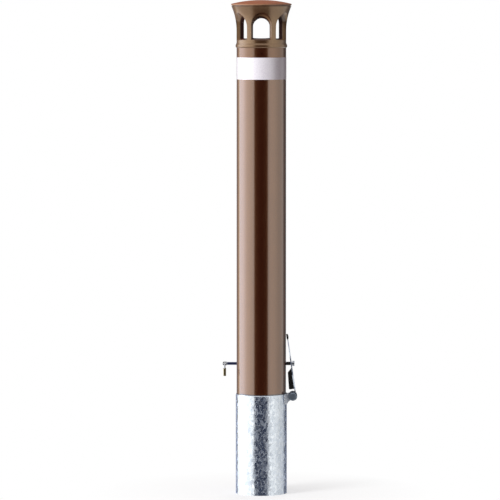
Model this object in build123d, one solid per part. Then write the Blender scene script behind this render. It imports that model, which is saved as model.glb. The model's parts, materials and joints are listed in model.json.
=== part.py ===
from build123d import *
import math
import os

# Removable bollard: a painted steel post with a cast lantern head stands in a galvanised ground
# socket. A hinged lid stands open beside the post, and a padlocked bar runs through lid and post.
# Millimetres, +Z up. The origin is the centre of the socket's underside. +X is the hinge side.

# Ground socket
socket_play = 0.7
socket_wall = 1.2
socket_depth = 231.3
rim_below_ground = 6.7
base_thickness = 4.0
drain_hole_diameter = 12.0
drain_circle_diameter = 72.0
drain_hole_count = 4
drain_turn = 45.0

# Post
post_diameter = 114.3
post_wall = 4.5
post_above_ground = 793.1
band_height = 50.4
band_thickness = 0.35
band_glue = 0.05
band_below_top = 22.1

# Head: the drum and its flare, the arches, and the dome over them
spigot_depth = 40.0
spigot_clearance = 0.15
bead_height = 12.6
bead_middle = 4.4
bead_proud = 2.3
drum_height = 38.9
flare_rise = 58.2
flare_reach = 11.8
crown_wall = 16.95
floor_thickness = 5.0
arch_count = 6
arch_turn = -90.0
arch_inner_half_width = 19.1
arch_jamb_slope = 0.107
arch_mouth_depth = 8.0
arch_mouth_slope = 0.45
arch_spring_height = 49.9
arch_inner_rise = 18.1
arch_soffit_slope = 0.545
sill_height = 21.2
sill_slope = 0.19
arch_cut_past = 4.0
dome_rim_overhang = 0.5
rim_groove_height = 1.6
rim_groove_depth = 1.6
dome_rim_height = 3.8
dome_rim_round = 1.0
dome_rise = 8.9
dome_skin = 4.0
dome_spigot_depth = 8.0
dome_spigot_wall = 4.0
dome_spigot_clearance = 0.3
dome_boss_radius = 5.5
ledge_width = 9.0
ledge_thickness = 4.0
ledge_below_rim = 17.0

# Screws of the head
set_screw_diameter = 6.0
set_screw_head_diameter = 9.0
set_screw_length = 9.0
set_screw_below_top = 13.0
dome_screw_diameter = 5.0
dome_screw_length = 16.0
dome_screw_head_diameter = 9.5
dome_screw_head_height = 2.8
dome_screw_head_round = 1.1
screw_count = 3
set_screw_turn = -90.0
dome_screw_turn = 30.0
screw_clearance = 0.05

# Hinge of the lid
hinge_stand_off = 13.95
hinge_drop = 5.5
hinge_bolt_diameter = 10.0
hinge_clearance = 0.05
ear_thickness = 3.0
ear_side_gap = 0.5
saddle_thickness = 3.0
saddle_half_angle = 26.0
saddle_height = 21.0
ear_foot_drop = 9.0
bolt_head_flats = 16.0
bolt_head_height = 6.4
nut_height = 8.0
washer_diameter = 20.0
washer_thickness = 2.0
bolt_tip_proud = 3.0
bolt_tip_chamfer = 1.0
hex_face_share = 0.94
hex_chamfer_angle = 30.0

# Lid
lid_overhang = 0.95
lid_thickness = 2.5
tongue_width = 20.0
knuckle_seam = 0.8
tab_width = 24.0
tab_length = 9.7
tab_corner = 4.0
grip_wall = 0.8
grip_depth = 10.0
lean_gap = 0.3
block_width = 26.0
block_depth_hinge_end = 12.1
block_depth_far_end = 9.5
block_length = 38.6
block_far_chamfer = 9.0
block_near_chamfer = 2.7
block_bore_clearance = 0.6
lid_screw_diameter = 5.0
lid_screw_head_diameter = 9.6
lid_screw_length = 10.0
lid_screw_from_near_end = 9.0
lid_screw_from_far_end = 4.5
lid_screw_spacing = 14.0

# Lock bar
bar_above_ground = 63.0
bar_diameter = 6.6
bar_head_diameter = 12.0
bar_head_thickness = 5.3
bar_head_chamfer = 0.8
bar_left_proud = 32.15
eye_height = 8.3
eye_thickness = 4.0
eye_length = 10.6
eye_corner = 2.9
eye_hole_diameter = 5.2
eye_setback = 4.6
bar_hole_clearance = 0.25
bar_seat_gap = 0.3
bar_side_play = 0.3
sleeve_wall = 0.7
slot_width_play = 1.8
slot_end_play = 1.2
post_lift_play = 3.0

# Padlock
shackle_diameter = 3.2
shackle_centres = 11.2
shackle_rest_rise = 0.3
lock_width = 20.0
lock_thickness = 6.0
lock_height = 17.0
lock_top_below_bar = 11.2
lock_corner = 1.6
lock_edge_chamfer = 0.4
leg_clearance = 0.1
long_leg_depth = 12.0
short_leg_depth = 7.5
plug_diameter = 4.4
plug_height = 10.0
plug_clearance = 0.05
keyway_width = 0.9
keyway_length = 3.2
keyway_depth = 7.0
latch_height = 2.2
latch_length = 4.6
latch_engagement = 0.9
latch_clearance = 0.1
latch_travel = 1.3
cam_pin_diameter = 1.2
cam_pin_play = 0.3

# Places worked out from the sizes above
post_radius = post_diameter / 2
bore_radius = post_radius + socket_play
socket_radius = bore_radius + socket_wall
rim_z = socket_depth
ground_z = rim_z + rim_below_ground
chamber_radius = post_radius - crown_wall
hinge_offset = socket_radius + hinge_stand_off
lid_radius = socket_radius + lid_overhang
bar_left_reach = post_radius + bar_left_proud
post_bore_radius = post_radius - post_wall
post_top_z = ground_z + post_above_ground
bar_z = ground_z + bar_above_ground
hinge_z = rim_z - hinge_drop
bar_rise = bar_z - hinge_z
knuckle_bore_radius = hinge_drop
knuckle_radius = hinge_drop + lid_thickness
ear_inner_y = tongue_width / 2 + ear_side_gap
ear_outer_y = ear_inner_y + ear_thickness
tab_end = hinge_offset + lid_radius + tab_length
grip_end = tab_end + grip_wall
grip_inner_face = hinge_drop - grip_wall
lid_lean = math.degrees(
    math.asin((hinge_offset - post_radius - lean_gap) / math.hypot(grip_end, grip_inner_face))
    + math.atan2(grip_inner_face, grip_end)
)
lean_slope = math.tan(math.radians(lid_lean))
lean_cosine = math.cos(math.radians(lid_lean))
lid_outer_face_x = hinge_offset - bar_rise * lean_slope + knuckle_radius / lean_cosine
lid_inner_face_x = hinge_offset - bar_rise * lean_slope + hinge_drop / lean_cosine
bar_head_x = lid_outer_face_x + bar_head_diameter / 2 * lean_slope + bar_side_play
eye_x = eye_setback - bar_left_reach
lock_top_z = bar_z - lock_top_below_bar
lock_bottom_z = lock_top_z - lock_height
shackle_top_z = bar_z + shackle_rest_rise
crown_rim_z = post_top_z + drum_height + flare_rise
crown_rim_radius = post_radius + flare_reach
ledge_z = crown_rim_z - ledge_below_rim
dome_radius = crown_rim_radius + dome_rim_overhang
dome_boss_x = chamber_radius - ledge_width / 2 - dome_spigot_clearance
latch_width = 2 * latch_travel + cam_pin_diameter

# A cutting shape is this many times as long as what it cuts
oversize = 2.0

# How a shape sits on its place: on its foot, or hanging from its top
standing = (Align.CENTER, Align.CENTER, Align.MIN)
hanging = (Align.CENTER, Align.CENTER, Align.MAX)


def ring(outer, inner, height, z):
    """A plain ring that stands on height z."""
    wall = Cylinder(outer, height) - Cylinder(inner, height * oversize)
    return Pos(0, 0, z + height / 2) * wall


def across_y(shape, x, z):
    """Turns a shape made along Z so that it lies along Y through the point x, z."""
    return Pos(x, 0, z) * Rot(X=90) * shape


def on_lid(shape):
    """Places a lid shape: its X is the distance out of the hinge axis, its Z runs up the lid."""
    return Location((hinge_offset, 0, hinge_z), (0, -lid_lean, 0)) * shape


def around(count, start=0.0):
    """Turns about the post's axis, evenly spaced, as locations."""
    return [Rot(Z=start + turn * 360 / count) for turn in range(count)]


def socket_tube():
    return ring(socket_radius, bore_radius, rim_z - base_thickness, base_thickness)


def socket_base():
    plate = Pos(0, 0, base_thickness / 2) * Cylinder(socket_radius, base_thickness)
    for turn in around(drain_hole_count, drain_turn):
        hole = Cylinder(drain_hole_diameter / 2, base_thickness * oversize)
        plate -= turn * Pos(drain_circle_diameter / 2, 0, 0) * hole
    return plate


def hinge_bracket():
    """A saddle welded round the socket's wall, with two ears that carry the hinge bolt."""
    saddle_radius = socket_radius + saddle_thickness
    saddle = Pos(0, 0, rim_z - saddle_height / 2) * Cylinder(saddle_radius, saddle_height)
    far = saddle_radius * oversize
    spread = far * math.tan(math.radians(saddle_half_angle))
    sector = make_face(Polyline((0, 0), (far, -spread), (far, spread), (0, 0)))
    saddle &= extrude(sector, rim_z)
    foot_x = math.sqrt(socket_radius**2 - ear_outer_y**2)
    root_x = foot_x - ear_thickness
    foot_z = rim_z - saddle_height - ear_foot_drop
    reach = hinge_offset - foot_x
    drop = hinge_z - knuckle_radius - foot_z
    diagonal = math.sqrt(0.5)
    outline = make_face(
        [
            Line((foot_x, foot_z), (root_x, foot_z)),
            Line((root_x, foot_z), (root_x, rim_z)),
            Line((root_x, rim_z), (saddle_radius, rim_z)),
            Line((saddle_radius, rim_z), (hinge_offset, hinge_z + knuckle_radius)),
            ThreePointArc(
                (hinge_offset, hinge_z + knuckle_radius),
                (hinge_offset + knuckle_radius, hinge_z),
                (hinge_offset, hinge_z - knuckle_radius),
            ),
            ThreePointArc(
                (hinge_offset, hinge_z - knuckle_radius),
                (hinge_offset - reach * diagonal, foot_z + drop * diagonal),
                (foot_x, foot_z),
            ),
        ]
    )
    ear = extrude(Plane.XZ * outline, ear_thickness)
    wall = Cylinder(socket_radius, rim_z * oversize, align=standing)
    ears = Pos(0, ear_outer_y, 0) * ear + Pos(0, -ear_inner_y, 0) * ear
    bore = Cylinder(hinge_bolt_diameter / 2 + hinge_clearance, 2 * ear_outer_y * oversize)
    return saddle + ears - wall - across_y(bore, hinge_offset, hinge_z)


def hinge_bush():
    """A spacer tube that the ears clamp, so that the lid's knuckle turns freely on it."""
    outer = Cylinder(knuckle_bore_radius - hinge_clearance, ear_inner_y * 2)
    inner = Cylinder(hinge_bolt_diameter / 2 + hinge_clearance, 2 * ear_inner_y * oversize)
    return across_y(outer - inner, hinge_offset, hinge_z)


def hexagon(flats, height):
    """A hexagonal head or nut that stands on its washer, its corners turned off at the top."""
    prism = extrude(RegularPolygon(flats / 2, 6, major_radius=False), height)
    face_radius = flats / 2 * hex_face_share
    foot_radius = face_radius + height / math.tan(math.radians(hex_chamfer_angle))
    return prism & Cone(foot_radius, face_radius, height, align=standing)


def hinge_bolt():
    shank_length = 2 * (ear_outer_y + washer_thickness) + nut_height + bolt_tip_proud
    head_y = -(ear_outer_y + washer_thickness)
    shank = Cylinder(hinge_bolt_diameter / 2, shank_length, align=standing)
    shank = chamfer(shank.edges().group_by(Axis.Z)[-1], bolt_tip_chamfer)
    head = Rot(X=180) * hexagon(bolt_head_flats, bolt_head_height)
    return Location((hinge_offset, head_y, hinge_z), (-90, 0, 0)) * (shank + head)


def hinge_nut():
    nut = hexagon(bolt_head_flats, nut_height)
    nut -= Cylinder(hinge_bolt_diameter / 2 + screw_clearance, 2 * nut_height * oversize)
    return Location((hinge_offset, ear_outer_y + washer_thickness, hinge_z), (-90, 0, 0)) * nut


def hinge_washers():
    washer = Cylinder(washer_diameter / 2, washer_thickness)
    washer -= Cylinder(hinge_bolt_diameter / 2 + hinge_clearance, washer_thickness * oversize)
    side = ear_outer_y + washer_thickness / 2
    pair = [Pos(0, y, 0) * across_y(washer, hinge_offset, hinge_z) for y in (-side, side)]
    return Compound(children=pair)


def tab_outline(grow=0.0):
    """The finger tab at the lid's far edge, seen along the lid's normal."""
    low = hinge_offset + lid_radius / 2
    high = tab_end + grow
    tab = Pos(0, (low + high) / 2) * Rectangle(tab_width + 2 * grow, high - low)
    return fillet(tab.vertices().group_by(Axis.Y)[-1], tab_corner + grow)


def lid_sheet(sketch, inner_face, thickness):
    """Extrudes an outline drawn with x across the lid and y up the lid."""
    plane = Plane(origin=(inner_face, 0, 0), x_dir=(0, 1, 0), z_dir=(1, 0, 0))
    return extrude(plane * sketch, thickness)


def lid_screw_places():
    first = block_start() + lid_screw_from_near_end
    last = block_start() + block_length - lid_screw_from_far_end
    return [(side * lid_screw_spacing / 2, up) for side in (-1, 1) for up in (first, last)]


def block_start():
    """The block's rounded end follows the socket's bore when the lid is shut."""
    return hinge_offset - bore_radius + block_bore_clearance


def countersunk(diameter, head_diameter, length, grow=0.0):
    """A countersunk screw along -Z with its face at height 0."""
    small = diameter / 2 + grow
    large = head_diameter / 2 + grow
    cone = Cone(small, large, large - small, align=hanging)
    return cone + Cylinder(small, length + grow, align=hanging)


def lid_screw_set(grow=0.0):
    screw = countersunk(lid_screw_diameter, lid_screw_head_diameter, lid_screw_length, grow)
    return [
        Location((knuckle_radius, side, up), (0, 90, 0)) * screw for side, up in lid_screw_places()
    ]


def lid_plate():
    disc = Pos(0, hinge_offset) * Circle(lid_radius)
    tongue_reach = hinge_offset - lid_radius / 2
    tongue = Pos(0, tongue_reach / 2) * Rectangle(tongue_width, tongue_reach)
    slot_length = bar_diameter + post_lift_play + 2 * slot_end_play
    slot = SlotOverall(slot_length, bar_diameter + slot_width_play, rotation=90)
    slot = Pos(0, bar_rise + post_lift_play / 2) * slot
    plate = lid_sheet(disc + tongue + tab_outline() - slot, hinge_drop, lid_thickness)
    knuckle = Rot(X=90) * (
        Cylinder(knuckle_radius, tongue_width)
        - Cylinder(knuckle_bore_radius, tongue_width * oversize)
    )
    seam_align = (Align.MAX, Align.CENTER, Align.MIN)
    seam = Box(knuckle_seam, tongue_width * oversize, knuckle_radius, align=seam_align)
    knuckle -= Pos(hinge_drop, 0, 0) * seam
    plate += knuckle
    for screw in lid_screw_set(screw_clearance):
        plate -= screw
    return on_lid(plate)


def lid_block():
    """A moulded block under the lid that drops into the socket's mouth and locates the lid."""
    near = block_start()
    far = near + block_length
    outline = Polyline(
        (hinge_drop, near),
        (hinge_drop - block_depth_hinge_end + block_near_chamfer, near),
        (hinge_drop - block_depth_hinge_end, near + block_near_chamfer),
        (hinge_drop - block_depth_far_end, far),
        (hinge_drop, far + block_far_chamfer),
        (hinge_drop, near),
    )
    block = extrude(Plane.XZ * make_face(outline), block_width / 2, both=True)
    mouth = Pos(0, hinge_offset) * Circle(bore_radius - block_bore_clearance)
    block &= lid_sheet(mouth, hinge_drop - block_depth_hinge_end, block_depth_hinge_end)
    for screw in lid_screw_set(screw_clearance):
        block -= screw
    return on_lid(block)


def lid_screws():
    screws = []
    for screw in lid_screw_set():
        screws.append(on_lid(screw))
    return Compound(children=screws)


def lid_grip():
    """A soft cap pushed over the finger tab, down to the disc's edge."""
    grip_thickness = lid_thickness + 2 * grip_wall
    tab_end_half = Pos(0, grip_end - grip_depth / 2) * Rectangle(tab_width * oversize, grip_depth)
    disc = Pos(0, hinge_offset) * Circle(lid_radius + grip_wall)
    cap = lid_sheet((tab_outline(grip_wall) & tab_end_half) - disc, grip_inner_face, grip_thickness)
    return on_lid(cap - lid_sheet(tab_outline(), hinge_drop, lid_thickness))


def bar_holes():
    """The hole across the post that the bar's flattened end has to pass."""
    radius = eye_height / 2 + bar_hole_clearance
    centre_z = bar_z + radius - bar_diameter / 2 - bar_seat_gap
    return Pos(0, 0, centre_z) * Rot(Y=90) * Cylinder(radius, post_diameter * oversize)


def set_screw_group(grow=0.0):
    screw = countersunk(set_screw_diameter, set_screw_head_diameter, set_screw_length, grow)
    face_x = post_radius + grow
    place = Location((face_x, 0, post_top_z - set_screw_below_top), (0, 90, 0))
    return [turn * place * screw for turn in around(screw_count, set_screw_turn)]


def post_tube():
    tube = ring(post_radius, post_bore_radius, post_top_z - base_thickness, base_thickness)
    tube -= bar_holes()
    for screw in set_screw_group(screw_clearance):
        tube -= screw
    return tube


def reflective_band():
    low = post_top_z - band_below_top - band_height
    return ring(post_radius + band_glue + band_thickness, post_radius + band_glue, band_height, low)


def arch_inner_edge():
    """How far from the axis a window's jambs meet the chamber's wall."""
    return math.sqrt(chamber_radius**2 - arch_inner_half_width**2)


def arch_mouth_start():
    """Where a window's jambs start to open out towards the drum's face."""
    return math.sqrt(post_radius**2 - arch_inner_half_width**2) - arch_mouth_depth


def arch_section(distance):
    """The outline of a window at a distance from the axis, on a plane square to the radius."""
    half_width = arch_inner_half_width + arch_jamb_slope * (distance - arch_inner_edge())
    half_width += arch_mouth_slope * max(0, distance - arch_mouth_start())
    rise = arch_inner_rise + arch_soffit_slope * (distance - chamber_radius)
    sill = sill_height - sill_slope * (distance - chamber_radius)
    outline = [
        Line((-half_width, sill), (half_width, sill)),
        Line((half_width, sill), (half_width, arch_spring_height)),
        EllipticalCenterArc((0, arch_spring_height), half_width, rise, arc_size=180),
        Line((-half_width, arch_spring_height), (-half_width, sill)),
    ]
    plane = Plane(origin=(distance, 0, post_top_z), x_dir=(0, 1, 0), z_dir=(1, 0, 0))
    return plane * make_face(outline)


def arch_cutter():
    """A window's hole: straight behind, with a mouth whose jambs open out to the front."""
    start = arch_inner_edge() - arch_cut_past
    end = crown_rim_radius + arch_cut_past
    return loft([arch_section(place) for place in (start, arch_mouth_start(), end)], ruled=True)


def crown_profile():
    """Half the crown's section: radius across, height up from the post's top."""
    spigot = post_bore_radius - spigot_clearance
    spigot_bore = spigot - floor_thickness
    floor_under = sill_height - floor_thickness
    top = drum_height + flare_rise
    flare_height = flare_rise - rim_groove_height
    flare_radius = (flare_height**2 + flare_reach**2) / (2 * flare_reach)
    half_turn = math.asin(flare_height / flare_radius) / 2
    flare_middle = (
        post_radius + flare_radius * (1 - math.cos(half_turn)),
        drum_height + flare_radius * math.sin(half_turn),
    )
    bead_crest = (post_radius + bead_proud, bead_middle)
    bead_lip = (post_radius + bead_proud * math.sqrt(0.5), bead_middle * (1 - math.sqrt(0.5)))
    groove_foot = top - rim_groove_height
    groove_radius = crown_rim_radius - rim_groove_depth
    ledge_top = top - ledge_below_rim
    ledge_foot = ledge_top - ledge_thickness
    ledge_bore = chamber_radius - ledge_width
    inside = Polyline(
        (crown_rim_radius, groove_foot),
        (groove_radius, groove_foot),
        (groove_radius, top),
        (chamber_radius, top),
        (chamber_radius, ledge_top),
        (ledge_bore, ledge_top),
        (ledge_bore, ledge_foot),
        (chamber_radius, ledge_foot),
        (chamber_radius, sill_height),
        (0, sill_height),
        (0, floor_under),
        (spigot_bore, floor_under),
        (spigot_bore, -spigot_depth),
        (spigot, -spigot_depth),
        (spigot, 0),
        (post_radius, 0),
    )
    lip = ThreePointArc((post_radius, 0), bead_lip, bead_crest)
    bead = Spline(bead_crest, (post_radius, bead_height), tangents=[(0, 1), (0, 1)])
    drum = Line((post_radius, bead_height), (post_radius, drum_height))
    flare = ThreePointArc((post_radius, drum_height), flare_middle, (crown_rim_radius, groove_foot))
    return make_face([inside, lip, bead, drum, flare])


def dome_screw_group(grow=0.0):
    """Button-head screws up through the ledge into the dome's bosses."""
    head_z = ledge_z - ledge_thickness
    head = Cylinder(dome_screw_head_diameter / 2, dome_screw_head_height, align=hanging)
    head = fillet(head.edges().group_by(Axis.Z)[0], dome_screw_head_round)
    shank = Cylinder(dome_screw_diameter / 2 + grow, dome_screw_length + grow, align=standing)
    place = Pos(dome_boss_x, 0, head_z)
    return [turn * place * (head + shank) for turn in around(screw_count, dome_screw_turn)]


def head_crown():
    crown = Pos(0, 0, post_top_z) * revolve(Plane.XZ * crown_profile(), Axis.Z)
    cutter = arch_cutter()
    for turn in around(arch_count, arch_turn):
        crown -= turn * cutter
    for screw in set_screw_group(screw_clearance) + dome_screw_group(screw_clearance):
        crown -= screw
    return crown


def dome_cap():
    """A shallow spherical cap with a rim, a locating ring inside the crown, and three bosses."""
    sphere_radius = (dome_radius**2 + dome_rise**2) / (2 * dome_rise)
    crest = dome_rim_height + dome_rise
    half_turn = math.asin(dome_radius / sphere_radius) / 2
    middle = (
        sphere_radius * math.sin(half_turn),
        crest - sphere_radius * (1 - math.cos(half_turn)),
    )
    ring_outer = chamber_radius - dome_spigot_clearance
    ring_inner = ring_outer - dome_spigot_wall
    ceiling = crest - dome_skin - dome_spigot_wall
    underside = Polyline(
        (dome_radius, dome_rim_height),
        (dome_radius, 0),
        (ring_outer, 0),
        (ring_outer, -dome_spigot_depth),
        (ring_inner, -dome_spigot_depth),
        (ring_inner, ceiling),
        (0, ceiling),
        (0, crest),
    )
    skin = ThreePointArc((0, crest), middle, (dome_radius, dome_rim_height))
    section = make_face([underside, skin])
    section = fillet(section.vertices().group_by(Axis.X)[-1], dome_rim_round)
    cap = revolve(Plane.XZ * section, Axis.Z)
    boss = Cylinder(dome_boss_radius, ledge_below_rim + ceiling, align=standing)
    room = Cylinder(ring_outer, ledge_below_rim * oversize)
    for turn in around(screw_count, dome_screw_turn):
        cap += (turn * Pos(dome_boss_x, 0, -ledge_below_rim) * boss) & room
    cap = Pos(0, 0, crown_rim_z) * cap
    for screw in dome_screw_group(screw_clearance):
        cap -= screw
    return cap


def head_set_screws():
    return Compound(children=set_screw_group())


def dome_screws():
    return Compound(children=dome_screw_group())


def along_x(diameter, start, end):
    """A round rod on the lock bar's axis."""
    return Pos((start + end) / 2, 0, bar_z) * Rot(Y=90) * Cylinder(diameter / 2, end - start)


def lock_bar():
    """A round bar with a head at the lid and a forged flat eye at the padlock's end."""
    eye_start = -bar_left_reach
    eye_end = eye_start + eye_length
    rod = along_x(bar_diameter, eye_end - eye_corner, bar_head_x)
    head = along_x(bar_head_diameter, bar_head_x, bar_head_x + bar_head_thickness)
    head = chamfer(head.edges().group_by(Axis.X)[-1], bar_head_chamfer)
    eye_face = Pos(eye_start + eye_length / 2, bar_z) * Rectangle(eye_length, eye_height)
    eye_face = fillet(eye_face.vertices(), eye_corner)
    eye = extrude(Plane.XZ * eye_face, eye_thickness / 2, both=True)
    bar = rod + head + eye
    return bar - across_y(Cylinder(eye_hole_diameter / 2, eye_height), eye_x, bar_z)


def bar_sleeve():
    """A soft sleeve on the bar that keeps the lid off the post."""
    start = post_radius + bar_side_play
    outer = bar_diameter / 2 + sleeve_wall
    end = lid_inner_face_x - outer * lean_slope - bar_side_play
    return along_x(outer * 2, start, end) - along_x(bar_diameter, 0, end + start)


def shackle_path():
    centre_z = shackle_top_z - shackle_centres / 2
    half = shackle_centres / 2
    long_end = lock_top_z - long_leg_depth
    short_end = lock_top_z - short_leg_depth
    path = [
        Line((eye_x, -half, long_end), (eye_x, -half, centre_z)),
        ThreePointArc((eye_x, -half, centre_z), (eye_x, 0, shackle_top_z), (eye_x, half, centre_z)),
        Line((eye_x, half, centre_z), (eye_x, half, short_end)),
    ]
    return Wire(path)


def latch_bottom_z():
    return lock_bottom_z + plug_height + latch_clearance


def padlock_shackle():
    path = shackle_path()
    section = Plane(origin=path @ 0, z_dir=path % 0) * Circle(shackle_diameter / 2)
    shackle = sweep(section, path)
    notch_height = latch_height + 4 * latch_clearance
    notch_z = latch_bottom_z() - 2 * latch_clearance
    notch_depth = latch_engagement + 2 * latch_clearance
    notch_align = (Align.CENTER, Align.MIN, Align.MIN)
    notch = Box(shackle_diameter * oversize, notch_depth, notch_height, align=notch_align)
    notch_y = shackle_centres / 2 - shackle_diameter / 2
    return shackle - Pos(eye_x, notch_y, notch_z) * notch


def latch_nose_y():
    return shackle_centres / 2 - shackle_diameter / 2 + latch_engagement


def padlock_latch():
    """The sliding latch that the plug's pin draws back out of the shackle's notch."""
    latch = Box(latch_width, latch_length, latch_height, align=(Align.CENTER, Align.MAX, Align.MIN))
    latch = Pos(eye_x, latch_nose_y(), latch_bottom_z()) * latch
    slot_width = cam_pin_diameter + 2 * cam_pin_play
    slot_align = (Align.MIN, Align.CENTER, Align.CENTER)
    slot = Box(latch_width, slot_width, 2 * latch_height * oversize, align=slot_align)
    slot_start = eye_x - cam_pin_diameter / 2 - latch_clearance
    return latch - Pos(slot_start, latch_travel, latch_bottom_z()) * slot


def padlock_plug():
    """The key plug, with a keyway in its face and an off-centre pin that works the latch."""
    plug = Cylinder(plug_diameter / 2, plug_height, align=standing)
    keyway = Box(keyway_width, keyway_length, 2 * keyway_depth)
    pin = Cylinder(cam_pin_diameter / 2, latch_height, align=standing)
    plug = plug - keyway + Pos(0, latch_travel, plug_height) * pin
    return Pos(eye_x, 0, lock_bottom_z) * plug


def padlock_body():
    body = Box(lock_thickness, lock_width, lock_height, align=standing)
    body = fillet(body.edges().filter_by(Axis.Z), lock_corner)
    ends = body.edges().group_by(Axis.Z)[0] + body.edges().group_by(Axis.Z)[-1]
    body = chamfer(ends, lock_edge_chamfer)
    body = Pos(eye_x, 0, lock_bottom_z) * body
    leg_radius = shackle_diameter / 2 + leg_clearance
    for side, depth in ((-1, long_leg_depth), (1, short_leg_depth)):
        bore = Cylinder(leg_radius, 2 * (depth + leg_clearance))
        body -= Pos(eye_x, side * shackle_centres / 2, lock_top_z) * bore
    plug_bore = Cylinder(plug_diameter / 2 + plug_clearance, 2 * plug_height)
    body -= Pos(eye_x, 0, lock_bottom_z) * plug_bore
    channel_back = latch_nose_y() - latch_length - latch_travel - latch_clearance
    channel_front = shackle_centres / 2
    channel = Box(
        latch_width + 2 * latch_clearance,
        channel_front - channel_back,
        latch_height + 2 * latch_clearance,
        align=(Align.CENTER, Align.MIN, Align.MIN),
    )
    return body - Pos(eye_x, channel_back, latch_bottom_z() - latch_clearance) * channel


makers = [
    socket_tube,
    socket_base,
    hinge_bracket,
    hinge_bush,
    hinge_bolt,
    hinge_nut,
    hinge_washers,
    lid_plate,
    lid_block,
    lid_screws,
    lid_grip,
    post_tube,
    reflective_band,
    head_crown,
    dome_cap,
    head_set_screws,
    dome_screws,
    lock_bar,
    bar_sleeve,
    padlock_shackle,
    padlock_body,
    padlock_plug,
    padlock_latch,
]

if __name__ == "__main__":
    os.makedirs("parts", exist_ok=True)
    for maker in makers:
        export_step(maker(), f"parts/{maker.__name__}.step")
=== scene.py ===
import bpy
import bmesh
import json
import math
from mathutils import Matrix, Vector


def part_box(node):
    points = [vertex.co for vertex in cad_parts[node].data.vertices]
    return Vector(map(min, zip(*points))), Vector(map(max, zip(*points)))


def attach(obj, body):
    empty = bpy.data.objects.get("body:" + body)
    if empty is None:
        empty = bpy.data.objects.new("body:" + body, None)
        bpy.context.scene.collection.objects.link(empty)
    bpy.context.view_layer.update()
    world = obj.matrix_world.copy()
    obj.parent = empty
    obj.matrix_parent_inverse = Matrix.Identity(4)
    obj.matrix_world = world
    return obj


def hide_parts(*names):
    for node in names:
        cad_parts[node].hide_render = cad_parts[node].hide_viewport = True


# Removable bollard: painted post with a lantern head, galvanised ground socket, hinged lid,
# lock bar and padlock. Metres, +Z up, origin at the middle of the socket's underside.

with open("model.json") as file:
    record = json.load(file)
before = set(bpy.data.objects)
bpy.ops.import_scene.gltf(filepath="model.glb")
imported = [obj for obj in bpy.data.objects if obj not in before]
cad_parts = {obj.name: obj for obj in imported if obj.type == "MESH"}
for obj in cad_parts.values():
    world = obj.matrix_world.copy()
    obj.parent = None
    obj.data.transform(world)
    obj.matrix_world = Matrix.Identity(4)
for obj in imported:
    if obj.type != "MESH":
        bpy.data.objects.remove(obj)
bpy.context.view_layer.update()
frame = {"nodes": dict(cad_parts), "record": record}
print("frame loaded")

# a Mix node's colour sockets go by number, because its other kinds share their names
fromColour, toColour, mixedColour = 6, 7, 2


# sRGB hex to linear RGBA
def linearColour(hexCode):
    values = [int(hexCode[i:i + 2], 16) / 255 for i in (0, 2, 4)]
    return [v / 12.92 if v <= 0.04045 else ((v + 0.055) / 1.055) ** 2.4 for v in values] + [1.0]


# a node with its settings, which are its own or the values of its sockets, and its links
def addNode(tree, kind, settings=None, links=None):
    node = tree.nodes.new(kind)
    for name, value in (settings or {}).items():
        if isinstance(name, str) and hasattr(node, name):
            setattr(node, name, value)
        else:
            node.inputs[name].default_value = value
    for name, source in (links or {}).items():
        tree.links.new(source, node.inputs[name])
    return node


def newMaterial(name, settings):
    material = bpy.data.materials.new(name)
    material.use_nodes = True
    shader = material.node_tree.nodes["Principled BSDF"]
    for socket, value in settings.items():
        shader.inputs[socket].default_value = value
    return material, material.node_tree, shader


# Materials

# what the bronze coats share; flake and orange peel are drawn coarser than real, so that they show
bronzeCoat = {
    "glow": "b02a14", "glowRoughness": 0.9, "flakeDetail": 2.0, "flakeContrast": 0.6,
    "cloudDetail": 3.0, "cloudStrength": 0.35, "cloudSpan": (0.3, 0.7), "cloudShade": 0.8,
    "peelDetail": 1.0, "dryFade": 0.0005,
    # where the painted shade inside the head fades in, and how rough it is there
    "shadeFade": (-0.002, 0.001), "shadeRoughness": 0.85, "mouthFade": 0.001,
}


# flake of two tones, with faint clouds where the spray went on thicker
def flakeColour(tree, place, settings):
    flake = addNode(tree, "ShaderNodeTexNoise", {
        "Scale": 1 / settings["flakeSize"], "Detail": bronzeCoat["flakeDetail"],
        "Roughness": bronzeCoat["flakeContrast"]}, {"Vector": place})
    cloud = addNode(tree, "ShaderNodeTexNoise", {
        "Scale": 1 / settings["cloudSize"], "Detail": bronzeCoat["cloudDetail"]},
        {"Vector": place})
    tone = addNode(tree, "ShaderNodeMix", {
        "data_type": "RGBA", fromColour: linearColour(settings["dark"]),
        toColour: linearColour(settings["light"])}, {0: flake.outputs["Fac"]})
    low, high = bronzeCoat["cloudSpan"]
    shade = addNode(tree, "ShaderNodeMapRange", {
        "From Min": low, "From Max": high, "To Min": bronzeCoat["cloudShade"], "To Max": 1.0},
        {"Value": cloud.outputs["Fac"]})
    clouded = addNode(tree, "ShaderNodeMix", {
        "data_type": "RGBA", "blend_type": "MULTIPLY", 0: bronzeCoat["cloudStrength"]},
        {fromColour: tone.outputs[mixedColour], toColour: shade.outputs["Result"]})
    return clouded.outputs[mixedColour]
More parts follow.
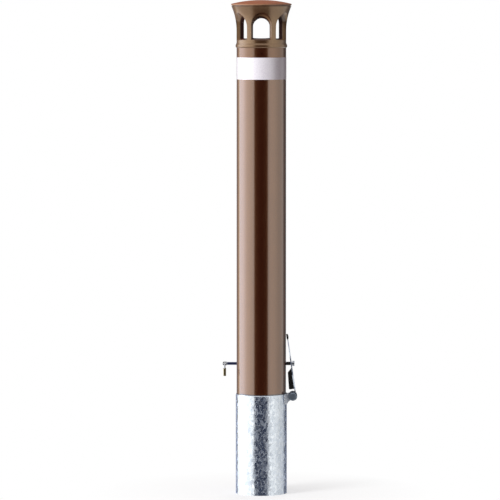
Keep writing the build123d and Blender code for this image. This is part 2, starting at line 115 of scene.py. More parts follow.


# painted shade: the inside of the head, deep in its recesses, is painted near black, with its
# metal and coat taken away and its roughness raised
def shadedInside(tree, shader, split, colour, settings):
    level = addNode(tree, "ShaderNodeCombineXYZ", {}, {
        "X": split.outputs["X"], "Y": split.outputs["Y"]})
    radius = addNode(tree, "ShaderNodeVectorMath", {"operation": "LENGTH"},
                     {0: level.outputs[0]}).outputs["Value"]
    low, high = bronzeCoat["shadeFade"]
    unshaded = addNode(tree, "ShaderNodeMapRange", {
        "From Min": settings["insideRadius"] + low, "From Max": settings["insideRadius"] + high},
        {"Value": radius}).outputs["Result"]
    # in the mouths of the arches the coat lies dusty and dull
    outside = addNode(tree, "ShaderNodeMapRange", {
        "From Min": settings["mouthRadius"],
        "From Max": settings["mouthRadius"] + bronzeCoat["mouthFade"],
        "To Min": settings["mouthMetallic"], "To Max": settings["metallic"]}, {"Value": radius})
    metal = addNode(tree, "ShaderNodeMath", {"operation": "MULTIPLY"},
                    {0: unshaded, 1: outside.outputs["Result"]})
    skin = addNode(tree, "ShaderNodeMath", {"operation": "MULTIPLY", 1: settings["coat"]},
                   {0: unshaded})
    dull = addNode(tree, "ShaderNodeMapRange", {
        "To Min": bronzeCoat["shadeRoughness"], "To Max": settings["roughness"]},
        {"Value": unshaded})
    tree.links.new(metal.outputs[0], shader.inputs["Metallic"])
    tree.links.new(skin.outputs[0], shader.inputs["Coat Weight"])
    tree.links.new(dull.outputs["Result"], shader.inputs["Roughness"])
    return addNode(tree, "ShaderNodeMix", {
        "data_type": "RGBA", fromColour: linearColour(settings["insideShade"])},
        {0: unshaded, toColour: colour}).outputs[mixedColour]


# painted shade or painted highlight in its own tone, below a height or above it
def paintedLightBand(tree, shader, split, colour, settings):
    mark = settings["mark"]
    low, high = mark["fade"]
    passed = addNode(tree, "ShaderNodeMapRange", {
        "From Min": mark["height"] + low, "From Max": mark["height"] + high},
        {"Value": split.outputs["Z"]}).outputs["Result"]
    if mark["hidesMetal"]:
        metal = addNode(tree, "ShaderNodeMath", {
            "operation": "MULTIPLY", 1: settings["metallic"]}, {0: passed})
        tree.links.new(metal.outputs[0], shader.inputs["Metallic"])
    marked, painted = (toColour, fromColour) if mark["above"] else (fromColour, toColour)
    return addNode(tree, "ShaderNodeMix", {
        "data_type": "RGBA", marked: linearColour(mark["tone"])},
        {0: passed, painted: colour}).outputs[mixedColour]


def bronzePowderCoat(name, settings):
    # bronze polyester powder coat, sprayed and stoved: a warm metal flake under a clear skin with
    # a slight ripple, so it mirrors broad lights softly and shows a red-brown depth between them
    material, tree, shader = newMaterial(name, {
        "Metallic": settings["metallic"], "Roughness": settings["roughness"],
        "Coat Weight": settings["coat"], "Coat Roughness": settings["coatRoughness"],
        "Coat IOR": settings["coatIor"], "Sheen Weight": settings["glowWeight"],
        "Sheen Roughness": bronzeCoat["glowRoughness"],
        "Sheen Tint": linearColour(bronzeCoat["glow"])})
    place = addNode(tree, "ShaderNodeTexCoord").outputs["Object"]
    split = addNode(tree, "ShaderNodeSeparateXYZ", {}, {0: place})
    colour = flakeColour(tree, place, settings)
    if "insideShade" in settings:
        colour = shadedInside(tree, shader, split, colour, settings)
    colour = paintedLightBand(tree, shader, split, colour, settings)
    if "dryCoat" in settings:
        # the coat went on drier round the top of the post, so its skin mirrors less there
        fade = bronzeCoat["dryFade"]
        dry = addNode(tree, "ShaderNodeMapRange", {
            "From Min": settings["dryHeight"] - fade, "From Max": settings["dryHeight"] + fade,
            "To Min": settings["coat"], "To Max": settings["dryCoat"]},
            {"Value": split.outputs["Z"]})
        tree.links.new(dry.outputs["Result"], shader.inputs["Coat Weight"])
    peel = addNode(tree, "ShaderNodeTexNoise", {
        "Scale": 1 / settings["peelSize"], "Detail": bronzeCoat["peelDetail"]},
        {"Vector": place})
    bump = addNode(tree, "ShaderNodeBump", {
        "Strength": settings["peelStrength"], "Distance": settings["peelHeight"]},
        {"Height": peel.outputs["Fac"]})
    tree.links.new(colour, shader.inputs["Base Color"])
    tree.links.new(bump.outputs["Normal"], shader.inputs["Normal"])
    tree.links.new(bump.outputs["Normal"], shader.inputs["Coat Normal"])
    return material


postPaint = bronzePowderCoat("bronzePowderCoat", {
    "metallic": 0.94, "roughness": 0.285, "coat": 1.0, "coatRoughness": 0.1, "coatIor": 1.85,
    "glowWeight": 0.14, "dark": "614630", "light": "735539",
    "flakeSize": 0.0022, "cloudSize": 0.06,
    "peelSize": 0.004, "peelStrength": 0.35, "peelHeight": 0.00008,
    "dryCoat": 0.65, "dryHeight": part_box("reflective_band")[1][2],
    # painted shade of the narrow gap where the post goes into its socket: a near-black band on the
    # post just above the socket, with its metal taken away
    "mark": {"tone": "0c0806", "height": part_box("socket_tube")[1][2] + 0.0025,
             "fade": (-0.0006, 0.0008), "above": False, "hidesMetal": True}})
castPaint = bronzePowderCoat("bronzePowderCoatOnCasting", {
    "metallic": 0.9, "roughness": 0.33, "coat": 0.6, "coatRoughness": 0.2, "coatIor": 1.6,
    "glowWeight": 0.1, "dark": "665139", "light": "846b4c",
    "flakeSize": 0.0026, "cloudSize": 0.03,
    "peelSize": 0.0035, "peelStrength": 0.6, "peelHeight": 0.00015,
    # painted shade: near black inside the head, within insideRadius of the axis
    "insideShade": "0e0907", "insideRadius": 0.0494, "mouthRadius": 0.0557, "mouthMetallic": 0.12,
    # painted shade under the dome's overhanging rim: a dark band round the top of the crown
    "mark": {"tone": "201712", "height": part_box("head_crown")[1][2] - 0.0017,
             "fade": (-0.0003, 0.0003), "above": True, "hidesMetal": False}})
domePaint = bronzePowderCoat("bronzePowderCoatOnDome", {
    "metallic": 0.15, "roughness": 0.55, "coat": 0.02, "coatRoughness": 0.3, "coatIor": 1.5,
    "glowWeight": 0.05, "dark": "773b12", "light": "965021",
    "flakeSize": 0.0026, "cloudSize": 0.03,
    "peelSize": 0.0035, "peelStrength": 0.5, "peelHeight": 0.00012,
    # painted highlight: the dome's lower rim is painted paler than its crown
    "mark": {"tone": "8c6a50", "height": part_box("head_crown")[1][2] + 0.0034,
             "fade": (-0.0008, 0.0008), "above": False, "hidesMetal": False}})

zincCoat = {
    "metallic": 0.95, "bloom": "4f86e6", "bloomWeight": 0.36, "bloomRoughness": 0.7,
    "crystalSize": 0.0052, "drawn": (1.0, 1.0, 0.7), "tilt": 0.05,
    "ragSize": 0.00625, "ragDetail": 2.0, "ragReach": 0.006,
    "dark": "c5cdd4", "light": "dbe1e6", "smooth": 0.08, "rough": 0.4,
}


def galvanisedSteel():
    # hot-dip galvanised steel: bright zinc in leaf-shaped crystals, each tipped its own way,
    # so that neighbours catch the light or go dark, with a bluish bloom
    material, tree, shader = newMaterial("hotDipGalvanisedSteel", {
        "Metallic": zincCoat["metallic"], "Sheen Weight": zincCoat["bloomWeight"],
        "Sheen Roughness": zincCoat["bloomRoughness"],
        "Sheen Tint": linearColour(zincCoat["bloom"])})
    place = addNode(tree, "ShaderNodeTexCoord").outputs["Object"]
    # the crystals' outlines are ragged, and drawn out along the tube
    rag = addNode(tree, "ShaderNodeTexNoise", {
        "Scale": 1 / zincCoat["ragSize"], "Detail": zincCoat["ragDetail"]}, {"Vector": place})
    shift = addNode(tree, "ShaderNodeVectorMath", {
        "operation": "SCALE", "Scale": zincCoat["ragReach"]}, {0: rag.outputs["Color"]})
    bent = addNode(tree, "ShaderNodeVectorMath", {"operation": "ADD"},
                   {0: place, 1: shift.outputs[0]})
    drawn = addNode(tree, "ShaderNodeVectorMath", {
        "operation": "MULTIPLY", 1: zincCoat["drawn"]}, {0: bent.outputs[0]})
    crystals = addNode(tree, "ShaderNodeTexVoronoi", {"Scale": 1 / zincCoat["crystalSize"]},
                       {"Vector": drawn.outputs[0]})
    # each crystal's random colour, less its middle grey, is the way that it is tipped
    fromMiddle = addNode(tree, "ShaderNodeVectorMath", {"operation": "SUBTRACT"},
                         {0: drawn.outputs[0], 1: crystals.outputs["Position"]})
    lean = addNode(tree, "ShaderNodeVectorMath", {"operation": "SUBTRACT", 1: (0.5, 0.5, 0.5)},
                   {0: crystals.outputs["Color"]})
    facet = addNode(tree, "ShaderNodeVectorMath", {"operation": "DOT_PRODUCT"},
                    {0: fromMiddle.outputs[0], 1: lean.outputs[0]})
    bump = addNode(tree, "ShaderNodeBump", {"Strength": 1.0, "Distance": zincCoat["tilt"]},
                   {"Height": facet.outputs["Value"]})
    chance = addNode(tree, "ShaderNodeSeparateColor", {}, {"Color": crystals.outputs["Color"]})
    tone = addNode(tree, "ShaderNodeMix", {
        "data_type": "RGBA", fromColour: linearColour(zincCoat["dark"]),
        toColour: linearColour(zincCoat["light"])}, {0: chance.outputs["Red"]})
    rough = addNode(tree, "ShaderNodeMapRange", {
        "To Min": zincCoat["smooth"], "To Max": zincCoat["rough"]},
        {"Value": chance.outputs["Green"]})
    tree.links.new(tone.outputs[mixedColour], shader.inputs["Base Color"])
    tree.links.new(rough.outputs["Result"], shader.inputs["Roughness"])
    tree.links.new(bump.outputs["Normal"], shader.inputs["Normal"])
    return material


# the grain that the plated and polished metals share
metalGrain = {"detail": 4.0, "strength": 0.2, "height": 0.00005}


def platedMetal(name, settings):
    # plated or polished metal, faintly cloudy: a tight satin gleam on zinc, a closer one on
    # chrome and on brushed or turned brass
    material, tree, shader = newMaterial(name, {"Metallic": settings["metallic"]})
    place = addNode(tree, "ShaderNodeTexCoord").outputs["Object"]
    cloud = addNode(tree, "ShaderNodeTexNoise", {
        "Scale": 1 / settings["cloudSize"], "Detail": metalGrain["detail"]}, {"Vector": place})
    tone = addNode(tree, "ShaderNodeMix", {
        "data_type": "RGBA", fromColour: linearColour(settings["dark"]),
        toColour: linearColour(settings["light"])}, {0: cloud.outputs["Fac"]})
    rough = addNode(tree, "ShaderNodeMapRange", {
        "To Min": settings["smooth"], "To Max": settings["rough"]},
        {"Value": cloud.outputs["Fac"]})
    bump = addNode(tree, "ShaderNodeBump", {
        "Strength": metalGrain["strength"], "Distance": metalGrain["height"]},
        {"Height": cloud.outputs["Fac"]})
    colour = tone.outputs[mixedColour]
    if "bare" in settings:
        # hands, the lid and the lock rub the colour off both ends, down to pale metal
        along = addNode(tree, "ShaderNodeSeparateXYZ", {}, {0: place}).outputs["X"]
        rubbed = addNode(tree, "ShaderNodeMath", {"operation": "MAXIMUM"})
        for index, (whole, worn) in enumerate(settings["bareEnds"]):
            end = addNode(tree, "ShaderNodeMapRange", {"From Min": whole, "From Max": worn},
                          {"Value": along})
            tree.links.new(end.outputs["Result"], rubbed.inputs[index])
        colour = addNode(tree, "ShaderNodeMix", {
            "data_type": "RGBA", toColour: linearColour(settings["bare"])},
            {0: rubbed.outputs[0], fromColour: colour}).outputs[mixedColour]
    tree.links.new(colour, shader.inputs["Base Color"])
    tree.links.new(rough.outputs["Result"], shader.inputs["Roughness"])
    tree.links.new(bump.outputs["Normal"], shader.inputs["Normal"])
    return material


# the eroded texture of the black mouldings, drawn coarser than a real one so that it shows
mouldGrain = {"ior": 1.5, "size": 0.0009, "detail": 2.0, "strength": 0.4, "height": 0.00006}


def mouldedPolymer(name, settings):
    # black polymer or rubber, moulded: soft sheen over a fine eroded texture
    material, tree, shader = newMaterial(name, {
        "IOR": mouldGrain["ior"], "Roughness": settings["roughness"]})
    place = addNode(tree, "ShaderNodeTexCoord").outputs["Object"]
    grain = addNode(tree, "ShaderNodeTexNoise", {
        "Scale": 1 / mouldGrain["size"], "Detail": mouldGrain["detail"]}, {"Vector": place})
    tone = addNode(tree, "ShaderNodeMix", {
        "data_type": "RGBA", fromColour: linearColour(settings["dark"]),
        toColour: linearColour(settings["light"])}, {0: grain.outputs["Fac"]})
    bump = addNode(tree, "ShaderNodeBump", {
        "Strength": mouldGrain["strength"], "Distance": mouldGrain["height"]},
        {"Height": grain.outputs["Fac"]})
    tree.links.new(tone.outputs[mixedColour], shader.inputs["Base Color"])
    tree.links.new(bump.outputs["Normal"], shader.inputs["Normal"])
    return material


# the beads are drawn as coarse as the sheet's sealed cells, because real ones wouldn't show
tapeSheet = {"roughness": 0.35, "ior": 1.45, "film": 0.6, "filmRoughness": 0.2, "pearl": 0.05,
             "beadSize": 0.0024, "bead": "e7e6eb", "edge": "d6d3dc"}


def reflectiveTape():
    # retroreflective sheet: white film over glass beads, smooth and faintly pearly
    material, tree, shader = newMaterial("retroreflectiveTape", {
        "Roughness": tapeSheet["roughness"], "IOR": tapeSheet["ior"],
        "Coat Weight": tapeSheet["film"], "Coat Roughness": tapeSheet["filmRoughness"],
        "Sheen Weight": tapeSheet["pearl"]})
    place = addNode(tree, "ShaderNodeTexCoord").outputs["Object"]
    bead = addNode(tree, "ShaderNodeTexVoronoi", {"Scale": 1 / tapeSheet["beadSize"]},
                   {"Vector": place})
    tone = addNode(tree, "ShaderNodeMix", {
        "data_type": "RGBA", fromColour: linearColour(tapeSheet["bead"]),
        toColour: linearColour(tapeSheet["edge"])}, {0: bead.outputs["Distance"]})
    tree.links.new(tone.outputs[mixedColour], shader.inputs["Base Color"])
    return material


galvanised = galvanisedSteel()
tape = reflectiveTape()
fastenerSteel = platedMetal("zincPlatedSteel", {
    "metallic": 0.8, "cloudSize": 0.0033333, "dark": "6d7a8c", "light": "9aa6b4",
    "smooth": 0.3, "rough": 0.45})
dullZinc = platedMetal("weatheredZinc", {
    "metallic": 0.35, "cloudSize": 0.002381, "dark": "c3cdd8", "light": "eef3f8",
    "smooth": 0.4, "rough": 0.6})
# the colour is whole at each pair's first X and worn off at its second: eye, then head
barSteel = platedMetal("darkPlatedBar", {
    "metallic": 0.9, "cloudSize": 0.005, "dark": "2a3050", "light": "434b70",
    "smooth": 0.3, "rough": 0.45,
    "bare": "b2b7c0", "bareEnds": ((-0.0777, -0.0797), (0.0695, 0.0705))})
shackleChrome = platedMetal("polishedShackle", {
    "metallic": 1.0, "cloudSize": 0.002, "dark": "9a9ca0", "light": "b8babe",
    "smooth": 0.16, "rough": 0.26})
lockBrass = platedMetal("brushedBrass", {
    "metallic": 1.0, "cloudSize": 0.0016667, "dark": "7f7046", "light": "a6976a",
    "smooth": 0.28, "rough": 0.42})
plugBrass = platedMetal("turnedBrass", {
    "metallic": 1.0, "cloudSize": 0.0016667, "dark": "a08850", "light": "c4ac70",
    "smooth": 0.2, "rough": 0.32})
blackMoulding = mouldedPolymer("mouldedPolymer", {
    "roughness": 0.5, "dark": "060606", "light": "0f0f10"})
blackRubber = mouldedPolymer("mouldedRubber", {
    "roughness": 0.7, "dark": "0a0a0a", "light": "151516"})

slotFinishes = {
    "galvanised_steel": galvanised,
    "fastener_steel": fastenerSteel,
    "bronze_paint": postPaint,
    "bronze_paint_casting": castPaint,
    "reflective_tape": tape,
    "black_moulding": blackMoulding,
    "black_rubber": blackRubber,
    "bar_steel": barSteel,
    "shackle_chrome": shackleChrome,
    "lock_brass": lockBrass,
    "plug_brass": plugBrass,
}
nodeFinishes = {"dome_cap": domePaint, "hinge_bracket": dullZinc}  # in place of their slot's
for part in frame["record"]["subparts"]:
    node = frame["nodes"][part["node"]]
    node.data.materials.clear()
    node.data.materials.append(
        nodeFinishes.get(part["node"], slotFinishes[part["material_slot"]]))

# the post's gloss shows none of what hangs close beside it
for name in ("lid_plate", "lid_block", "lid_grip", "lid_screws", "lock_bar", "padlock_body",
             "padlock_shackle"):
    frame["nodes"][name].visible_glossy = False
print("materials given")

# Pieces that the solids leave plain
touching = 0.00001  # points closer than this are one
sharpEdge = math.radians(32)
hingeAxis = (0.073, 0, 0.2258)  # it runs along Y
lidLean = math.radians(-8.0935)  # towards the post
# the lid's own frame: up along the plate, outwards along its X
lidFrame = Matrix.Translation(hingeAxis) @ Matrix.Rotation(lidLean, 4, "Y")


def addPiece(name, mesh, body, finish):
    bmesh.ops.remove_doubles(mesh, verts=mesh.verts, dist=touching)
    bmesh.ops.recalc_face_normals(mesh, faces=mesh.faces)
    data = bpy.data.meshes.new(name)
    mesh.to_mesh(data)
    mesh.free()
    data.shade_smooth()
    data.set_sharp_from_angle(angle=sharpEdge)
    piece = bpy.data.objects.new(name, data)
    bpy.context.scene.collection.objects.link(piece)
    data.materials.append(finish)
    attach(piece, body)
    return piece


def edgesOf(verts):
    return list(dict.fromkeys(edge for vert in verts for edge in vert.link_edges))


# the next ring of a tube: grown from the last, sized about its own middle, then moved
def nextRing(mesh, ring, move, size=1.0):
    made = bmesh.ops.extrude_edge_only(mesh, edges=ring)["geom"]
    verts = [part for part in made if isinstance(part, bmesh.types.BMVert)]
    middle = sum((vert.co for vert in verts), Vector()) / len(verts)
    bmesh.ops.scale(mesh, vec=(size, size, size), space=Matrix.Translation(-middle), verts=verts)
    bmesh.ops.transform(mesh, matrix=move, verts=verts)
    return [part for part in made if isinstance(part, bmesh.types.BMEdge) and part.is_boundary]


# a closed line of points (radius, height), out along X from an axis
def closedLine(mesh, points, middle=(0, 0, 0), axis=(0, 0, 1)):
    out = Vector((1, 0, 0))
    verts = [mesh.verts.new(Vector(middle) + out * radius + Vector(axis) * height)
             for radius, height in points]
    return verts, [mesh.edges.new(pair) for pair in zip(verts, verts[1:] + verts[:1])]


def lathe(mesh, points, steps, middle=(0, 0, 0), axis=(0, 0, 1)):
    verts, edges = closedLine(mesh, points, middle, axis)
    bmesh.ops.spin(mesh, geom=verts + edges, cent=middle, axis=axis, angle=2 * math.pi,
                   steps=steps, use_merge=True)


# the socket's tube with its top edge dressed to a slope, which the zinc has rounded
socketTube = {"bore": 0.05785, "slopeHeight": 0.0027, "slopeIn": 0.00112, "round": 0.0003,
              "steps": 128}


def roundedSocketTube():
    low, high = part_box("socket_tube")
    foot, outer, top = low[2], high[0], high[2]
    bore, soft = socketTube["bore"], socketTube["round"]
    shoulder, lip = top - socketTube["slopeHeight"], outer - socketTube["slopeIn"]
    mesh = bmesh.new()
    lathe(mesh, [
        (bore, foot), (outer, foot), (outer, shoulder - soft),
        (outer - soft / 4, shoulder + soft / 2), (lip, top - soft / 3),
        (lip - soft / 4, top), (bore, top - soft)], socketTube["steps"])
    tube = addPiece("socketTube", mesh, "socket", galvanised)
    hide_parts("socket_tube")


roundedSocketTube()

# countersunk screws with a hexagon key; the head's are placed by turns about the post, and the
# lid's in the lid's own frame
headScrew = {"head": 0.0045, "shank": 0.003, "length": 0.009, "key": 0.0023, "keyDepth": 0.0026,
             "height": 1.0181, "turns": (-90, 30, 150)}
lidScrew = {"head": 0.0048, "shank": 0.0025, "length": 0.01, "key": 0.0018, "keyDepth": 0.0022,
            "face": 0.008, "side": 0.007, "ups": (0.02475, 0.04985)}
screwShape = {"keySides": 6, "keyCuts": 3, "tipLength": 0.3, "tipSize": 0.85}  # length in tapers


# one screw, whose face looks along +X from the origin
def socketScrew(settings):
    mesh = bmesh.new()
    bmesh.ops.create_circle(mesh, segments=screwShape["keySides"], radius=settings["key"])
    bmesh.ops.subdivide_edges(mesh, edges=mesh.edges[:], cuts=screwShape["keyCuts"])
    key = mesh.edges[:]
    rim = edgesOf(bmesh.ops.create_circle(
        mesh, segments=len(key), radius=settings["head"])["verts"])
    bmesh.ops.bridge_loops(mesh, edges=key + rim)
    floor = nextRing(mesh, key, Matrix.Translation((0, 0, -settings["keyDepth"])))
    bmesh.ops.edgeloop_fill(mesh, edges=floor)
    taper = settings["head"] - settings["shank"]
    point = taper * screwShape["tipLength"]
    straight = settings["length"] - taper - point
    neck = nextRing(mesh, rim, Matrix.Translation((0, 0, -taper)),
                    settings["shank"] / settings["head"])
    foot = nextRing(mesh, neck, Matrix.Translation((0, 0, -straight)))
    tip = nextRing(mesh, foot, Matrix.Translation((0, 0, -point)), screwShape["tipSize"])
    bmesh.ops.edgeloop_fill(mesh, edges=tip)
    bmesh.ops.rotate(mesh, cent=(0, 0, 0), matrix=Matrix.Rotation(math.pi / 2, 3, "Y"),
                     verts=mesh.verts)
    data = bpy.data.meshes.new("screw")
    mesh.to_mesh(data)
    mesh.free()
    return data


def screwGroup(settings, places):
    single = socketScrew(settings)
    mesh = bmesh.new()
    for place in places:
        before = len(mesh.verts)
        mesh.from_mesh(single)
        bmesh.ops.transform(mesh, matrix=place, verts=mesh.verts[before:])
    bpy.data.meshes.remove(single)
    return mesh


def allScrews():
    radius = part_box("post_tube")[1][0]
    out = Matrix.Translation((radius, 0, headScrew["height"]))
    places = [Matrix.Rotation(math.radians(turn), 4, "Z") @ out for turn in headScrew["turns"]]
    mesh = screwGroup(headScrew, places)
    screws = addPiece("headScrews", mesh, "post", postPaint)
    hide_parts("head_set_screws")
    places = [lidFrame @ Matrix.Translation((lidScrew["face"], side * lidScrew["side"], up))
              for side in (-1, 1) for up in lidScrew["ups"]]
    mesh = screwGroup(lidScrew, places)
    screws = addPiece("lidScrews", mesh, "lid", fastenerSteel)
    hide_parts("lid_screws")
    screws.visible_glossy = False


allScrews()

# crests of the thread on the tip of the hinge bolt; their feet are sunk in its plain shank
boltThread = {"from": 0.0236, "pitch": 0.00125, "crests": 2, "foot": 0.00435, "root": 0.00495,
              "crest": 0.00535, "steps": 40}


def threadOnBolt():
    foot, root, crest = boltThread["foot"], boltThread["root"], boltThread["crest"]
    start, pitch = boltThread["from"], boltThread["pitch"]
    points = [(foot, start)]
    for turn in range(boltThread["crests"]):
        valley = start + turn * pitch
        points += [(root, valley), (crest, valley + pitch / 2)]
    end = start + boltThread["crests"] * pitch
    points += [(root, end), (foot, end)]
    mesh = bmesh.new()
    lathe(mesh, points, boltThread["steps"], hingeAxis, (0, 1, 0))
    addPiece("hingeBoltThread", mesh, "socket", fastenerSteel)


threadOnBolt()

# rippled weld beads that hold the hinge's saddle to the tube
saddleWeld = {"radius": 0.0596, "low": 0.2101, "high": 0.2302, "spread": 26.6,
              "size": 0.0017, "sides": 10, "ripple": 0.0014, "pinch": 0.84, "endSize": 0.5}


def weldBead(mesh, start, steps, move):
    verts = bmesh.ops.create_circle(mesh, segments=saddleWeld["sides"],
                                    radius=saddleWeld["size"], cap_ends=True)["verts"]
    bmesh.ops.transform(mesh, matrix=start, verts=verts)
    ring = edgesOf(verts)
    pinch = saddleWeld["pinch"]
    for step in range(steps):
        ring = nextRing(mesh, ring, move, pinch if step % 2 else 1 / pinch)
    ring = nextRing(mesh, ring, Matrix.Identity(4), saddleWeld["endSize"])
    bmesh.ops.edgeloop_fill(mesh, edges=ring)


def saddleWelds():
    mesh = bmesh.new()
    radius, ripple = saddleWeld["radius"], saddleWeld["ripple"]
    spread = math.radians(saddleWeld["spread"])
    outward = Matrix.Translation((radius, 0, saddleWeld["low"]))
    # along the saddle's lower edge, then up its two sides
    steps = int(2 * spread * radius / ripple)
    corner = Matrix.Rotation(-spread, 4, "Z") @ outward @ Matrix.Rotation(math.pi / 2, 4, "X")
    weldBead(mesh, corner, steps, Matrix.Rotation(2 * spread / steps, 4, "Z"))
    steps = int((saddleWeld["high"] - saddleWeld["low"]) / ripple)
    for side in (-1, 1):
        weldBead(mesh, Matrix.Rotation(side * spread, 4, "Z") @ outward, steps,
                 Matrix.Translation((0, 0, ripple)))
    addPiece("saddleWelds", mesh, "socket", dullZinc)


saddleWelds()

# the end of the tape laps over its start at the back of the post
tapeLap = {"inner": 0.05745, "outer": 0.0579, "low": 0.9586, "high": 1.009,
           "from": 84, "sweep": 13, "steps": 10}


def lapOfTape():
    mesh = bmesh.new()
    inner, outer, low, high = (tapeLap[name] for name in ("inner", "outer", "low", "high"))
    verts, edges = closedLine(mesh, [(inner, low), (outer, low), (outer, high), (inner, high)])
    bmesh.ops.rotate(mesh, cent=(0, 0, 0), verts=verts,
                     matrix=Matrix.Rotation(math.radians(tapeLap["from"]), 3, "Z"))
    bmesh.ops.spin(mesh, geom=verts + edges, cent=(0, 0, 0), axis=(0, 0, 1),
                   angle=math.radians(tapeLap["sweep"]), steps=tapeLap["steps"])
    bmesh.ops.holes_fill(mesh, edges=mesh.edges[:], sides=len(edges))
    addPiece("bandLap", mesh, "post", tape)


lapOfTape()

# ribs moulded on the outer face of the lid's grip
gripRib = {"face": 0.0088, "radius": 0.0006, "half": 0.0078, "ups": (0.1362, 0.138, 0.1398),
           "segments": 12, "rings": 8}


def gripRibs():
    mesh = bmesh.new()
    for up in gripRib["ups"]:
        verts = bmesh.ops.create_uvsphere(
            mesh, u_segments=gripRib["segments"], v_segments=gripRib["rings"],
            radius=gripRib["radius"])["verts"]
        bmesh.ops.rotate(mesh, cent=(0, 0, 0), matrix=Matrix.Rotation(math.pi / 2, 3, "X"),
                         verts=verts)
        # the ball is pulled out to a rib with round ends
        for side in (-1, 1):
            end = [vert for vert in verts if vert.co.y * side > touching]
            bmesh.ops.translate(mesh, vec=(0, side * gripRib["half"], 0), verts=end)
        place = lidFrame @ Matrix.Translation((gripRib["face"], 0, up))
        bmesh.ops.transform(mesh, matrix=place, verts=verts)
    addPiece("gripRibs", mesh, "lid", blackRubber).visible_glossy = False


gripRibs()

# driven plugs that close the tumbler holes in the edge of the padlock
lockPin = {"x": -0.0847, "face": -0.01, "heights": (0.2765, 0.2808, 0.2851), "radius": 0.0009,
           "endRadius": 0.00072, "length": 0.00048, "proud": 0.00012, "sides": 20}


def lockPins():
    mesh = bmesh.new()
    for height in lockPin["heights"]:
        verts = bmesh.ops.create_cone(
            mesh, cap_ends=True, segments=lockPin["sides"], radius1=lockPin["radius"],
            radius2=lockPin["endRadius"], depth=lockPin["length"])["verts"]
        bmesh.ops.rotate(mesh, cent=(0, 0, 0), matrix=Matrix.Rotation(math.pi / 2, 3, "X"),
                         verts=verts)
        middle = lockPin["face"] - lockPin["proud"] + lockPin["length"] / 2
        bmesh.ops.translate(mesh, vec=(lockPin["x"], middle, height), verts=verts)
    addPiece("lockPinPlugs", mesh, "padlock", plugBrass).visible_glossy = False


lockPins()
print("detail pieces made")


# Floor, lights and camera; an azimuth of 0 is the camera's side, and 90 is its right
def towards(azimuth):
    turn = math.radians(azimuth)
    return Vector((math.sin(turn), -math.cos(turn), 0))


def addStage(name, mesh, material):
    data = bpy.data.meshes.new(name)
    mesh.to_mesh(data)
    mesh.free()
    piece = bpy.data.objects.new(name, data)
    bpy.context.scene.collection.objects.link(piece)
    data.materials.append(material)
    return piece


# a white table, which goes over into the white behind it towards its edge
table = {"radius": 0.42, "sides": 96, "tone": "f6f6f6", "roughness": 0.8, "specular": 0.2,
         "glow": 0.6, "glowFrom": 0.08, "glowTo": 0.399}


def floorDisc():
    mesh = bmesh.new()
    bmesh.ops.create_circle(mesh, cap_ends=True, segments=table["sides"], radius=table["radius"])
    material, tree, shader = newMaterial("whiteTable", {
        "Base Color": linearColour(table["tone"]), "Roughness": table["roughness"],
        "Specular IOR Level": table["specular"]})
    place = addNode(tree, "ShaderNodeTexCoord").outputs["Object"]
    far = addNode(tree, "ShaderNodeVectorMath", {"operation": "LENGTH"}, {0: place})
    fade = addNode(tree, "ShaderNodeMapRange", {
        "From Min": table["glowFrom"], "From Max": table["glowTo"], "To Min": table["glow"]},
        {"Value": far.outputs["Value"]})
    glow = addNode(tree, "ShaderNodeEmission", {"Strength": 1.0})
    mixed = addNode(tree, "ShaderNodeMixShader", {}, {
        0: fade.outputs["Result"], 1: shader.outputs[0], 2: glow.outputs[0]})
    tree.links.new(mixed.outputs[0], tree.nodes["Material Output"].inputs["Surface"])
    addStage("floor", mesh, material).visible_glossy = False


floorDisc()

# a wall of light and dark cloth round the object, which only the gloss sees
tent = {
    "radius": 6.0, "low": -1.1, "high": 5.0, "sides": 180, "full": 3.6,
    # azimuth, radiance and coolness of the cloth, all round
    "stops": [
        (-180, 0.3, 0), (-150, 0.25, 0), (-136, 0.36, -0.35), (-127, 1.5, -0.25),
        (-120, 2.6, 0.1), (-108, 2.7, 0.12), (-94, 2.95, 0.12), (-84, 2.5, 0.08),
        (-70, 1.9, 0.0), (-46, 1.6, -0.03), (-36, 1.55, -0.04), (-31, 0, 0), (28, 0, 0),
        (33, 1.25, -0.03), (48, 1.3, -0.04), (66, 1.2, -0.04), (90, 0.9, -0.03),
        (119, 0.85, 0), (128, 0.16, 0), (145, 0.1, 0), (165, 0.2, 0)],
}
# dark cloth that hangs lower in front, from one azimuth to another
apron = {"from": -40, "to": 38, "low": -5.3, "steps": 24}


def tentCloth():
    material = bpy.data.materials.new("tentCloth")
    material.use_nodes = True
    tree = material.node_tree
    tree.nodes.remove(tree.nodes["Principled BSDF"])
    place = addNode(tree, "ShaderNodeTexCoord").outputs["Object"]
    split = addNode(tree, "ShaderNodeSeparateXYZ", {}, {0: place})
    away = addNode(tree, "ShaderNodeMath", {"operation": "MULTIPLY", 1: -1.0},
                   {0: split.outputs["Y"]})
    turn = addNode(tree, "ShaderNodeMath", {"operation": "ARCTAN2"},
                   {0: split.outputs["X"], 1: away.outputs[0]})
    along = addNode(tree, "ShaderNodeMapRange", {"From Min": -math.pi, "From Max": math.pi},
                    {"Value": turn.outputs[0]})
    ramp = addNode(tree, "ShaderNodeValToRGB", {}, {0: along.outputs["Result"]})
    stops = ramp.color_ramp.elements
    while len(stops) > 1:
        stops.remove(stops[-1])
    for index, (azimuth, radiance, cool) in enumerate(tent["stops"]):
        spot = (azimuth + 180) / 360
        stop = stops[0] if index == 0 else stops.new(spot)
        stop.position = spot
        level = radiance / tent["full"]
        stop.color = (level * (1 - cool / 2), level, level * (1 + cool), 1)
    cloth = addNode(tree, "ShaderNodeEmission", {"Strength": tent["full"]},
                    {"Color": ramp.outputs["Color"]})
    tree.links.new(cloth.outputs[0], tree.nodes["Material Output"].inputs["Surface"])
    return material


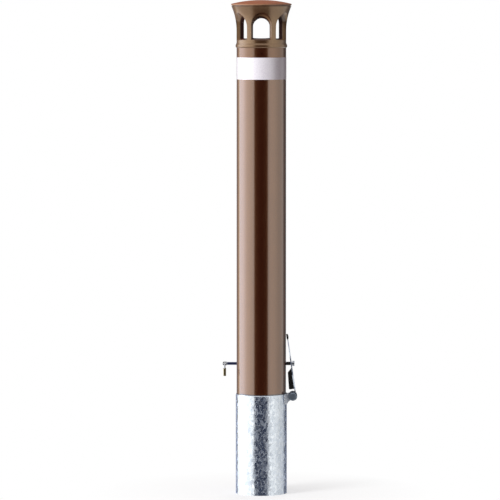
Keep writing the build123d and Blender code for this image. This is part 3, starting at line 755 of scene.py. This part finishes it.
def tentWall():
    mesh = bmesh.new()
    bmesh.ops.create_cone(mesh, segments=tent["sides"], radius1=tent["radius"],
                          radius2=tent["radius"], depth=tent["high"] - tent["low"],
                          cap_ends=False)
    bmesh.ops.translate(mesh, vec=(0, 0, (tent["high"] + tent["low"]) / 2), verts=mesh.verts)
    return addStage("tent", mesh, tentCloth())


def tentApron():
    mesh = bmesh.new()
    foot = towards(apron["from"]) * tent["radius"]
    low = mesh.verts.new((foot.x, foot.y, apron["low"]))
    high = mesh.verts.new((foot.x, foot.y, tent["low"]))
    edge = mesh.edges.new((low, high))
    bmesh.ops.spin(mesh, geom=[low, high, edge], cent=(0, 0, 0), axis=(0, 0, 1),
                   angle=math.radians(apron["to"] - apron["from"]), steps=apron["steps"])
    black = newMaterial("apronCloth", {
        "Base Color": (0, 0, 0, 1), "Specular IOR Level": 0.0})[0]
    return addStage("tentApron", mesh, black)


for cloth in (tentWall(), tentApron()):
    cloth.visible_camera = False
    cloth.visible_shadow = False
    cloth.visible_diffuse = False
    cloth.visible_transmission = False

# white to the camera, in gloss and through glass, and a faint warm fill to everything else
sky = {"tint": "ffe6ea", "fill": 0.19}


def studioWorld():
    world = bpy.data.worlds.new("studio")
    bpy.context.scene.world = world
    world.use_nodes = True
    tree = world.node_tree
    tree.nodes.clear()
    path = addNode(tree, "ShaderNodeLightPath")
    seen = addNode(tree, "ShaderNodeMath", {"operation": "MAXIMUM"}, {
        0: path.outputs["Is Camera Ray"], 1: path.outputs["Is Glossy Ray"]})
    through = addNode(tree, "ShaderNodeMath", {"operation": "MAXIMUM"}, {
        0: seen.outputs[0], 1: path.outputs["Is Transmission Ray"]})
    strength = addNode(tree, "ShaderNodeMapRange", {"To Min": sky["fill"], "To Max": 1.0},
                       {"Value": through.outputs[0]})
    tint = addNode(tree, "ShaderNodeMix", {
        "data_type": "RGBA", fromColour: linearColour(sky["tint"]), toColour: (1, 1, 1, 1)},
        {0: through.outputs[0]})
    white = addNode(tree, "ShaderNodeBackground", {}, {
        "Color": tint.outputs[mixedColour], "Strength": strength.outputs["Result"]})
    addNode(tree, "ShaderNodeOutputWorld", {}, {"Surface": white.outputs[0]})


studioWorld()

# azimuth, height, distance, size and radiance of each lamp, none of which shows in the gloss
lamps = {
    "key": (-50, 1.6, 4.0, 1.4, 36.0),
    "backFill": (168, 1.9, 4.5, 2.0, 5.0),
    "topLight": (0, 3.2, 0.0, 2.6, 1.3),
}
lampAim = Vector((0, 0, 0.6))


def addLamp(name, azimuth, height, distance, size, radiance):
    data = bpy.data.lights.new(name, "AREA")
    data.shape = "SQUARE"
    data.size = size
    data.energy = radiance * math.pi * size * size
    lamp = bpy.data.objects.new(name, data)
    bpy.context.scene.collection.objects.link(lamp)
    place = towards(azimuth) * distance + Vector((0, 0, height))
    lamp.location = place
    lamp.rotation_euler = (lampAim - place).to_track_quat("-Z", "Y").to_euler()
    lamp.visible_camera = False
    lamp.visible_glossy = False


for name, (azimuth, height, distance, size, radiance) in lamps.items():
    addLamp(name, azimuth, height, distance, size, radiance)

# the width that is seen at the post's distance sets the lens
view = {"distance": 8.5, "height": 1.14, "aimX": -0.0262, "aimZ": 0.5643, "seenWidth": 1.1555,
        "sensor": 36.0, "farthest": 60}


def placeCamera():
    data = bpy.data.cameras.new("camera")
    camera = bpy.data.objects.new("camera", data)
    bpy.context.scene.collection.objects.link(camera)
    camera.location = (view["aimX"], -view["distance"], view["height"])
    sight = Vector((view["aimX"], 0, view["aimZ"])) - camera.location
    camera.rotation_euler = sight.to_track_quat("-Z", "Y").to_euler()
    data.sensor_width = view["sensor"]
    data.lens = view["sensor"] * sight.length / view["seenWidth"]
    data.clip_end = view["farthest"]
    bpy.context.scene.camera = camera


placeCamera()
bpy.context.scene.view_settings.view_transform = "Standard"
print("studio set")
